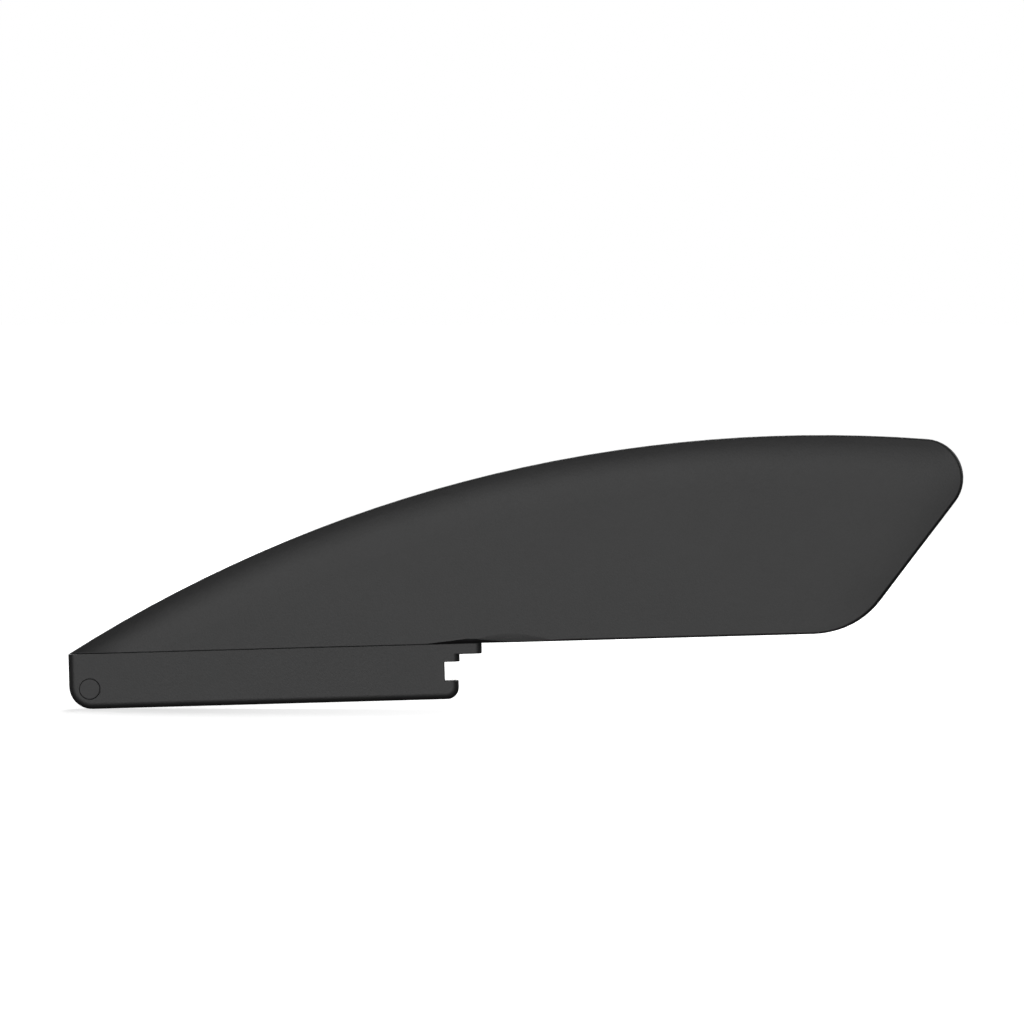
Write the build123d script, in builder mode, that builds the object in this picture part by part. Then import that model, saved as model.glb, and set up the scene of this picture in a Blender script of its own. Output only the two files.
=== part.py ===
from build123d import *
from math import cos, radians, sin, sqrt, tan
import os

# Frame: millimetres, +Z from the tab up to the crest of the blade, +X aft.
# The origin is the top front corner of the tab, in the middle of its thickness.
# The leading edge starts there, and the root line, Z = 0, is where the hull's skin lies.

# Outline of the blade, in the side view
blade_depth = 91.4  # root line to the crest of the leading edge
leading_radius = 644.0  # the leading edge is one long arc
foot_length = 362.0  # root line, from the front to the trailing edge produced down to it
trailing_angle = 51.3  # rise of the straight trailing edge, in degrees
tip_radius = 18.0
heel_radius = 38.0

# Thickness of the blade, given as half of it
root_half = 5.1  # at the root line
crest_half = 4.4  # at the height of the crest
rim_half = 1.0  # at the leading edge
nose_length = 23.0  # from the leading edge to where the cheek runs straight
tip_nose_length = 36.0  # the same at the tip, where the nose is drawn out
draw_out_from = 240.0  # foot of the rib where it starts to be
tail_length = 26.0  # from the trailing edge to where the tail starts to thin
tail_loss_root = 0.65  # what the tail loses at the root line
tail_loss_crest = 1.6  # what it loses at the height of the crest
rim_lean = 1.3  # what the outline's walls lean in from mid-thickness, over half the root's thickness
rim_fillet = 1.0  # rounds the rims of those walls
crease_fillet = 0.55  # rounds the lower edge along the tab

# Ribs that the blade is lofted through
trim_margin = 1.2  # how far the loft reaches past the outline that trims it
fore_ribs = 14
tail_rib_distances = (19.0, 11.0, 5.0, 0.0, -5.0)  # from the trailing edge, square to it
upright_until = 100.0  # ribs stand upright up to here, and then lean towards the trailing edge
wall_normal_limit = 0.5  # a face whose normal points more across the blade than this is a cheek

# Two reliefs in the blade's lower edge about the end of the tongue, a steep one and a shallow one
undercut_at = 184.5
undercut_length = 46.0
undercut_height = 2.6
undercut_radius = 1.5
undercut_slope = 60.0  # lean of the relief's face from the cheek, in degrees
fade_at = 202.0
fade_length = 46.0
fade_height = 5.5
fade_radius = 24.0
fade_slope = 9.0

# Tab that the fin box holds
tab_thickness = 9.4
tab_depth = 25.4
step_length = 179.6  # front of the tab to the end of the step
tongue_reach = 10.3  # tongue past the step
tongue_height = 4.75
step_height = 3.4
lip_setback = 0.7  # the lower lip ends this much short of the step
notch_height = 8.6
notch_depth = 7.0  # from the end of the step
front_corner_radius = 10.6
rear_corner_radius = 5.4
tab_fillet = 3.0
edge_fillet = 0.5  # rounds the edges of the notch and of the tongue

# Pivot boss on each cheek of the tab
boss_radius = 4.9
boss_proud = 1.3
boss_fillet = 0.6
boss_from_front = 9.5
boss_from_bottom = 9.4

# The leading arc passes through the origin, so its centre follows from its radius and its crest.
leading_centre_z = blade_depth - leading_radius
leading_centre_x = sqrt(leading_radius**2 - leading_centre_z**2)
trailing_slope = radians(trailing_angle)


def rib_lean(foot_x):
    """Angle of a rib in the side view: upright in front, and along the trailing edge at the tail."""
    parallel_from = foot_length - tail_rib_distances[0] / sin(trailing_slope)
    share = (foot_x - upright_until) / (parallel_from - upright_until)
    share = min(max(share, 0.0), 1.0)
    eased = share * share * (3 - 2 * share)
    return 90.0 - (90.0 - trailing_angle) * eased


def rib_length(foot_x, lean):
    """Length of a rib from the root line to the leading arc."""
    along = Vector(cos(radians(lean)), sin(radians(lean)))
    centre_to_foot = Vector(foot_x - leading_centre_x, -leading_centre_z)
    projected = along.dot(centre_to_foot)
    return -projected + sqrt(projected**2 - centre_to_foot.length**2 + leading_radius**2)


def cheek_half(height, foot_x):
    """Half thickness of the straight cheek, which thins towards the crest and towards the tail."""
    to_tail = (foot_length - foot_x) * sin(trailing_slope)
    tail_share = max(1 - to_tail / tail_length, 0.0) ** 3
    at_root = root_half - tail_loss_root * tail_share
    at_crest = crest_half - tail_loss_crest * tail_share
    return at_root + (at_crest - at_root) * height / blade_depth


def draw_rib(foot_x):
    """A section across the blade: each cheek runs straight up, and a cubic curves it in to the nose."""
    lean = rib_lean(foot_x)
    length = rib_length(foot_x, lean)
    tip_share = min(max((foot_x - draw_out_from) / (foot_length - draw_out_from), 0.0), 1.0)
    nose = nose_length + (tip_nose_length - nose_length) * tip_share
    top = length + trim_margin
    bottom = -2 * nose_length

    # The cubic leaves the cheek with no break in slope or curvature, and is rim_half at the outline.
    fall_at_outline = cheek_half(length, foot_x) - rim_half
    fall_at_top = fall_at_outline * ((nose + trim_margin) / nose) ** 3
    top_half = cheek_half(top, foot_x) - fall_at_top
    handle_heights = [top - (nose + trim_margin) * step / 3 for step in (1, 2, 3)]
    bottom_half = cheek_half(bottom, foot_x)

    normal = (sin(radians(lean)), 0, -cos(radians(lean)))
    with BuildSketch(Plane(origin=(foot_x, 0, 0), x_dir=(0, 1, 0), z_dir=normal)) as rib:
        with BuildLine():
            for side in (1, -1):
                handles = [(side * cheek_half(height, foot_x), height) for height in handle_heights]
                curve = Bezier((side * top_half, top), *handles)
                Line(curve @ 1, (side * bottom_half, bottom))
            Line((-top_half, top), (top_half, top))
            Line((-bottom_half, bottom), (bottom_half, bottom))
        make_face()
    return rib.sketch


def draw_outline(away, inset):
    """The blade's outline at a distance from mid-thickness. All but the root line is set in."""
    radius = leading_radius - inset
    reach = sqrt(radius**2 - leading_centre_z**2)
    with BuildSketch(Plane.XZ.offset(away)) as outline:
        with BuildLine():
            front = (leading_centre_x - reach, 0)
            crest = (leading_centre_x, blade_depth - inset)
            whole_arc = ThreePointArc(front, crest, (leading_centre_x + reach, 0), mode=Mode.PRIVATE)
            rise = (cos(trailing_slope), sin(trailing_slope))
            heel = (foot_length - inset / sin(trailing_slope), 0)
            trailing_edge = IntersectingLine(heel, rise, whole_arc)
            ThreePointArc(front, crest, trailing_edge @ 1)
            Line(front, heel)
        make_face()
        tip_corner = outline.vertices().sort_by(Axis.X)[-1]
        fillet(tip_corner, tip_radius - inset)
        heel_corner = outline.vertices().group_by(Axis.Y)[0].sort_by(Axis.X)[-1]
        fillet(heel_corner, heel_radius)
    return outline.sketch


# The first rib stands ahead of the blade, so that the loft runs true where the outline trims it.
first_foot = -10 * trim_margin
last_fore_foot = foot_length - tail_length / sin(trailing_slope)
rib_spacing = (last_fore_foot - first_foot) / (fore_ribs - 1)
fore_feet = [first_foot + rib_spacing * index for index in range(fore_ribs)]
tail_feet = [foot_length - distance / sin(trailing_slope) for distance in tail_rib_distances]


def draw_relief(at, length, height, radius, slope):
    """A relief in the right cheek, swung about an upright axis far outside, so it runs out at both ends."""
    with BuildSketch(Plane.YZ.offset(at)) as profile:
        with BuildLine():
            turn = JernArc((root_half, height), (0, -1), radius, -slope)
            foot = turn @ 1 + Vector(-tan(radians(slope)), -1) * (turn @ 1).Y
            outside = 2 * root_half
            Polyline(turn @ 1, foot, (outside, 0), (outside, height), (root_half, height))
        make_face()
    swing_radius = (length / 2) ** 2 / (2 * (root_half - foot.X))
    swing_axis = Axis((at, foot.X + swing_radius, 0), (0, 0, 1))
    return revolve(profile.sketch, axis=swing_axis, mode=Mode.PRIVATE)


def outer_rims(walls):
    """Edges that these walls share with the right cheek, which is mirrored in the end."""
    return walls.edges().filter_by(lambda edge: min((edge @ 0).Y, (edge @ 1).Y) > rim_half / 2)


def outline_walls(part):
    """Faces along the leading edge, the tip, the trailing edge and the root line."""
    walls = part.faces().filter_by(lambda face: abs(face.normal_at().Y) < wall_normal_limit)
    return walls.filter_by(Axis.X, reverse=True)


# The block is twice as thick as the blade, so that only its walls trim the loft.
with BuildPart() as outline_block:
    sections = [draw_outline(step * root_half, abs(step) * rim_lean) for step in (-2, 0, 2)]
    loft(sections, ruled=True)

with BuildPart() as plain_blade:
    loft([draw_rib(foot_x) for foot_x in fore_feet + tail_feet])
    add(outline_block.part, mode=Mode.INTERSECT)

with BuildPart() as fore_blade:
    add(plain_blade.part)
    split(bisect_by=Plane.YZ.offset(undercut_at), keep=Keep.BOTTOM)

# Along the tab the lower edge is sharper, and it meets the leading edge at a point.
# Each is rounded on a part of its own there, and the fore blade is what the two share.
with BuildPart() as creased_blade:
    add(fore_blade.part)
    fillet(outer_rims(outline_walls(creased_blade).filter_by(Axis.Z)), crease_fillet)

with BuildPart() as aft_blade:
    add(plain_blade.part)
    split(bisect_by=Plane.YZ.offset(undercut_at), keep=Keep.TOP)
    fillet(outer_rims(outline_walls(aft_blade)), rim_fillet)

undercut = draw_relief(undercut_at, undercut_length, undercut_height, undercut_radius, undercut_slope)
fade = draw_relief(fade_at, fade_length, fade_height, fade_radius, fade_slope)

with BuildPart() as blade:
    add(fore_blade.part)
    fillet(outer_rims(outline_walls(blade).filter_by(Axis.Z, reverse=True)), rim_fillet)
    add(creased_blade.part, mode=Mode.INTERSECT)
    add(aft_blade.part)
    split(bisect_by=Plane.XZ, keep=Keep.BOTTOM)
    add(undercut, mode=Mode.SUBTRACT)
    add(fade, mode=Mode.SUBTRACT)
    mirror(about=Plane.XZ)

# Tongue, a bar with rounded upright edges. It runs the whole length of the tab and past its end.
with BuildPart() as tongue:
    with BuildSketch():
        RectangleRounded(
            step_length + tongue_reach, tab_thickness, tab_fillet, align=(Align.MIN, Align.CENTER)
        )
    extrude(amount=-tongue_height)
    fillet(tongue.faces().sort_by(Axis.Z)[0].edges(), edge_fillet)

with BuildPart() as pivot_boss:
    with BuildSketch(Plane.XZ):
        with Locations((boss_from_front, boss_from_bottom - tab_depth)):
            Circle(boss_radius)
    extrude(amount=tab_thickness / 2 + boss_proud, both=True)
    fillet(pivot_boss.edges().filter_by(GeomType.CIRCLE), boss_fillet)

with BuildPart() as tab:
    # Body below the step, rounded from the front, along the bottom and up to the lip
    step_bottom = -tongue_height - step_height
    with BuildSketch(Plane.XZ) as side_view:
        with Locations((0, step_bottom)):
            Rectangle(step_length - lip_setback, tab_depth + step_bottom, align=(Align.MIN, Align.MAX))
        low_corners = side_view.vertices().group_by(Axis.Y)[0].sort_by(Axis.X)
        fillet(low_corners[0], front_corner_radius)
        low_corners = side_view.vertices().group_by(Axis.Y)[0].sort_by(Axis.X)
        fillet(low_corners[-1], rear_corner_radius)
    extrude(amount=tab_thickness / 2, both=True)
    cheek_edges = tab.faces().filter_by(Axis.Y).edges()
    top_edges = tab.faces().sort_by(Axis.Z)[-1].edges()
    fillet(cheek_edges - top_edges, tab_fillet)

    # Latch notch, cut square across the rounded end
    notch_end = step_length - notch_depth
    with BuildSketch(Plane.XZ):
        with Locations((notch_end, step_bottom)):
            Rectangle(2 * notch_depth, notch_height, align=(Align.MIN, Align.MAX))
    extrude(amount=tab_thickness, both=True, mode=Mode.SUBTRACT)
    notch_faces = tab.faces().filter_by_position(Axis.X, notch_end, step_length)
    notch_faces = notch_faces.filter_by_position(Axis.Z, step_bottom - notch_height, step_bottom)
    fillet(notch_faces.edges().filter_by(Axis.Y, reverse=True), edge_fillet)

    # Upper part, from the root line down to the bottom of the step
    with BuildSketch():
        RectangleRounded(step_length, tab_thickness, tab_fillet, align=(Align.MIN, Align.CENTER))
    extrude(amount=step_bottom)

    add(tongue.part)
    add(pivot_boss.part)

with BuildPart() as center_fin:
    add(blade.part)
    add(tab.part)

center_fin.part.label = "center_fin"
os.makedirs("parts", exist_ok=True)
export_step(center_fin.part, "parts/center_fin.step")
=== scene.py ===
from math import cos, pi, radians, sin

import bmesh
import bpy
from mathutils import Euler, Matrix, Vector


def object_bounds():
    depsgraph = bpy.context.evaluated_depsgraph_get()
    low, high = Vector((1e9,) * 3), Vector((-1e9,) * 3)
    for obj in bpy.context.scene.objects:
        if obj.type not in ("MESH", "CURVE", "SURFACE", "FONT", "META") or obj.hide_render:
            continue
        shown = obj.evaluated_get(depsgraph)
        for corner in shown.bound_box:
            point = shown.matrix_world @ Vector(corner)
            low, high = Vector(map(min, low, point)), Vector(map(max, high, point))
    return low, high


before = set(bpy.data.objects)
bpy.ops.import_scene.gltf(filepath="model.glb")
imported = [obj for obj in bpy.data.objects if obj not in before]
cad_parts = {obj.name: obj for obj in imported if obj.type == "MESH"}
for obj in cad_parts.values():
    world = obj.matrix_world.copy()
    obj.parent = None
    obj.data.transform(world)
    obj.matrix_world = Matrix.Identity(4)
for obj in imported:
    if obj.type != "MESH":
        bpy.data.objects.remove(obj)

# The fin stands in the frame of its solids: metres, +X aft, +Z up to the crest of the blade.
cad_box = [list(corner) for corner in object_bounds()]
tab_bottom = cad_box[0][2]

# Camera: facing the fin's side from a little above, and turned a little about its own line of sight
view_width = 0.4701  # what the picture's width covers, at the middle of the fin's thickness
view_centre = Vector((0.2055, 0.0, 0.0597))
view_roll = radians(1.586)
camera_rise = radians(2.5)
camera_distance = 6.0
sensor_width = 36.0
upright = radians(90)

full_white = 1.0  # the strength at which a glow or the room shows as white

# Lamps: where each stands from the middle of the view, its size in metres, and its glow.
# The front lamp lights a white wall that faces the camera to about full white.
front_lamp = {"place": (-0.55, -8.0, 0.26), "size": (2.76, 2.76), "glow": 27.5}
back_lamp = {"place": (0.0, 1.2, 0.9), "size": (0.4, 1.6), "glow": 6.2}

# Room: white to the camera and through glass. To the fin's gloss it is white behind the fin, dim elsewhere.
room_dim = 0.01
backdrop_turn = 0.5  # how far straight back a direction points, of 1, once gloss sees full white

# Floor: level in the picture, touched by the rounded front corner of the tab, and dark to the fin.
# To the camera it glows as well, and that glow is painted shade: it is weakest beside the tab, where it
# deepens the fin's shadow, and full further aft, where it paints the blade's shadow out. With the fin away,
# the floor is white from above.
floor_side = 12.0
floor_shade = 0.95
floor_shade_to_fin = 0.05
# Centre of the painted shade in the floor's glow, which deepens the fin's shadow beside the tab
painted_shade_spot = Vector((0.03, 0.0, 0.0))  # where its glow is weakest, from the point that the tab touches
floor_glow_near = 0.645
floor_glow_reach = 0.17
tab_corner_radius = 0.0106

# Moulded plastic: near black that drifts a little, under a fine spark-eroded grain
deep_black = (0.0035, 0.0035, 0.0037, 1.0)
soft_black = (0.0095, 0.0095, 0.0100, 1.0)
plastic_ior = 1.58
plastic_roughness = (0.59, 0.65)
drift_size = 0.025
grain_size = 0.0009
grain_depth = 0.00007
fine_detail = 3.0
pattern_turn = (radians(31), radians(47), radians(17))  # keeps the noise's own grid off the flat cheeks


def join(tree, source, output, target, socket):
    """Link an output of one node to an input of another, each by its name or its number."""
    tree.links.new(source.outputs[output], target.inputs[socket])


def add_math(tree, operation):
    node = tree.nodes.new("ShaderNodeMath")
    node.operation = operation
    return node


def add_noise(tree, place, size):
    """Clouds of noise that stay on the object, about as wide as the size says."""
    noise = tree.nodes.new("ShaderNodeTexNoise")
    noise.inputs["Scale"].default_value = 1 / size
    noise.inputs["Detail"].default_value = fine_detail
    join(tree, place, "Vector", noise, "Vector")
    return noise


def add_colour_ramp(tree, first, last):
    ramp = tree.nodes.new("ShaderNodeValToRGB")
    low, high = ramp.color_ramp.elements
    low.color = first
    high.color = last
    return ramp


def add_range(tree, first, last):
    """Turn a value from 0 to 1 into one between two others."""
    spread = tree.nodes.new("ShaderNodeMapRange")
    spread.inputs["To Min"].default_value = first
    spread.inputs["To Max"].default_value = last
    return spread


def grey(level):
    return (level, level, level, 1.0)


def make_moulded_black():
    """Black moulded plastic: a fine grain from the mould over a black that varies a little."""
    material = bpy.data.materials.new("moulded_black")
    material.use_nodes = True
    tree = material.node_tree
    shader = tree.nodes["Principled BSDF"]
    shader.inputs["IOR"].default_value = plastic_ior
    place = tree.nodes.new("ShaderNodeTexCoord")
    turned = tree.nodes.new("ShaderNodeMapping")
    turned.inputs["Rotation"].default_value = pattern_turn
    join(tree, place, "Object", turned, "Vector")

    drift = add_noise(tree, turned, drift_size)
    colour = add_colour_ramp(tree, deep_black, soft_black)
    join(tree, drift, "Fac", colour, "Fac")
    join(tree, colour, "Color", shader, "Base Color")

    grain = add_noise(tree, turned, grain_size)
    roughness = add_range(tree, *plastic_roughness)
    bump = tree.nodes.new("ShaderNodeBump")
    bump.inputs["Distance"].default_value = grain_depth
    join(tree, grain, "Fac", roughness, "Value")
    join(tree, roughness, "Result", shader, "Roughness")
    join(tree, grain, "Fac", bump, "Height")
    join(tree, bump, "Normal", shader, "Normal")
    return material


def make_pale_floor():
    """White to the camera apart from the fin's shadow, and dark to the fin's lower edges. Its glow is
    painted shade: weakest beside the tab, where it deepens that shadow, and full aft, where it washes the
    blade's shadow out.
    """
    material = bpy.data.materials.new("pale_floor")
    material.use_nodes = True
    tree = material.node_tree
    tree.nodes.remove(tree.nodes["Principled BSDF"])
    seen = tree.nodes.new("ShaderNodeLightPath")

    shade = add_colour_ramp(tree, grey(floor_shade_to_fin), grey(floor_shade))
    matt = tree.nodes.new("ShaderNodeBsdfDiffuse")
    join(tree, seen, "Is Camera Ray", shade, "Fac")
    join(tree, shade, "Color", matt, "Color")

    place = tree.nodes.new("ShaderNodeTexCoord")
    # Painted shade: the glow rises from its weakest near the tab to full white, deepening the shadow there
    # and washing it out aft
    distance = tree.nodes.new("ShaderNodeVectorMath")
    distance.operation = "DISTANCE"
    distance.inputs[1].default_value = painted_shade_spot
    spread = add_range(tree, floor_glow_near, full_white)
    spread.inputs["From Max"].default_value = floor_glow_reach
    strength = add_math(tree, "MULTIPLY")
    glow = tree.nodes.new("ShaderNodeEmission")
    join(tree, place, "Object", distance, 0)
    join(tree, distance, "Value", spread, "Value")
    join(tree, seen, "Is Camera Ray", strength, 0)
    join(tree, spread, "Result", strength, 1)
    join(tree, strength, "Value", glow, "Strength")

    both = tree.nodes.new("ShaderNodeAddShader")
    join(tree, matt, "BSDF", both, 0)
    join(tree, glow, "Emission", both, 1)
    join(tree, both, "Shader", tree.nodes["Material Output"], "Surface")
    return material


def make_floor():
    """A flat floor, level in the picture, under the front corner of the tab."""
    down = Vector((-sin(view_roll), 0, -cos(view_roll)))
    corner_centre = Vector((tab_corner_radius, 0, tab_bottom + tab_corner_radius))
    sheet = bmesh.new()
    bmesh.ops.create_grid(sheet, x_segments=1, y_segments=1, size=floor_side / 2)
    mesh = bpy.data.meshes.new("floor")
    sheet.to_mesh(mesh)
    sheet.free()
    mesh.materials.append(make_pale_floor())
    floor = bpy.data.objects.new("floor", mesh)
    floor.location = corner_centre + down * tab_corner_radius
    floor.rotation_euler = (0, view_roll, 0)
    bpy.context.scene.collection.objects.link(floor)


def make_lamp(name, place, size, glow):
    """A soft rectangular lamp that faces the middle of the view."""
    light = bpy.data.lights.new(name, "AREA")
    light.shape = "RECTANGLE"
    light.size, light.size_y = size
    light.energy = glow * pi * light.size * light.size_y
    lamp = bpy.data.objects.new(name, light)
    lamp.location = view_centre + Vector(place)
    lamp.rotation_euler = (-Vector(place)).to_track_quat("-Z", "Y").to_euler()
    bpy.context.scene.collection.objects.link(lamp)


def make_room():
    """A white backdrop for the camera and through glass, and behind the fin for its gloss too."""
    world = bpy.data.worlds.new("room")
    world.use_nodes = True
    tree = world.node_tree
    background = tree.nodes["Background"]
    background.inputs["Color"].default_value = grey(full_white)
    seen = tree.nodes.new("ShaderNodeLightPath")

    direction = tree.nodes.new("ShaderNodeTexCoord")
    parts = tree.nodes.new("ShaderNodeSeparateXYZ")
    behind = add_range(tree, 0.0, full_white)
    behind.inputs["From Max"].default_value = backdrop_turn
    gloss = add_math(tree, "MULTIPLY")
    join(tree, direction, "Generated", parts, "Vector")
    join(tree, parts, "Y", behind, "Value")
    join(tree, behind, "Result", gloss, 0)
    join(tree, seen, "Is Glossy Ray", gloss, 1)

    clear = add_math(tree, "MAXIMUM")
    white = add_math(tree, "MAXIMUM")
    strength = add_range(tree, room_dim, full_white)
    join(tree, seen, "Is Camera Ray", clear, 0)
    join(tree, seen, "Is Transmission Ray", clear, 1)
    join(tree, clear, "Value", white, 0)
    join(tree, gloss, "Value", white, 1)
    join(tree, white, "Value", strength, "Value")
    join(tree, strength, "Result", background, "Strength")
    bpy.context.scene.world = world


def make_camera():
    lens = bpy.data.cameras.new("camera")
    lens.sensor_width = sensor_width
    lens.lens = sensor_width * camera_distance / view_width
    camera = bpy.data.objects.new("camera", lens)
    camera.location = view_centre + camera_distance * Vector((0, -cos(camera_rise), sin(camera_rise)))
    level = Euler((upright - camera_rise, 0, 0)).to_matrix().to_4x4()
    camera.rotation_euler = (level @ Matrix.Rotation(-view_roll, 4, "Z")).to_euler()
    bpy.context.scene.collection.objects.link(camera)
    bpy.context.scene.camera = camera


# The fin keeps its solid, whose shape is right, and gets the finish of moulded plastic.
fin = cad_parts["center_fin"]
fin.data.materials.clear()
fin.data.materials.append(make_moulded_black())

make_floor()
make_lamp("front_lamp", **front_lamp)
make_lamp("back_lamp", **back_lamp)
make_room()
make_camera()
bpy.context.scene.view_settings.view_transform = "Standard"
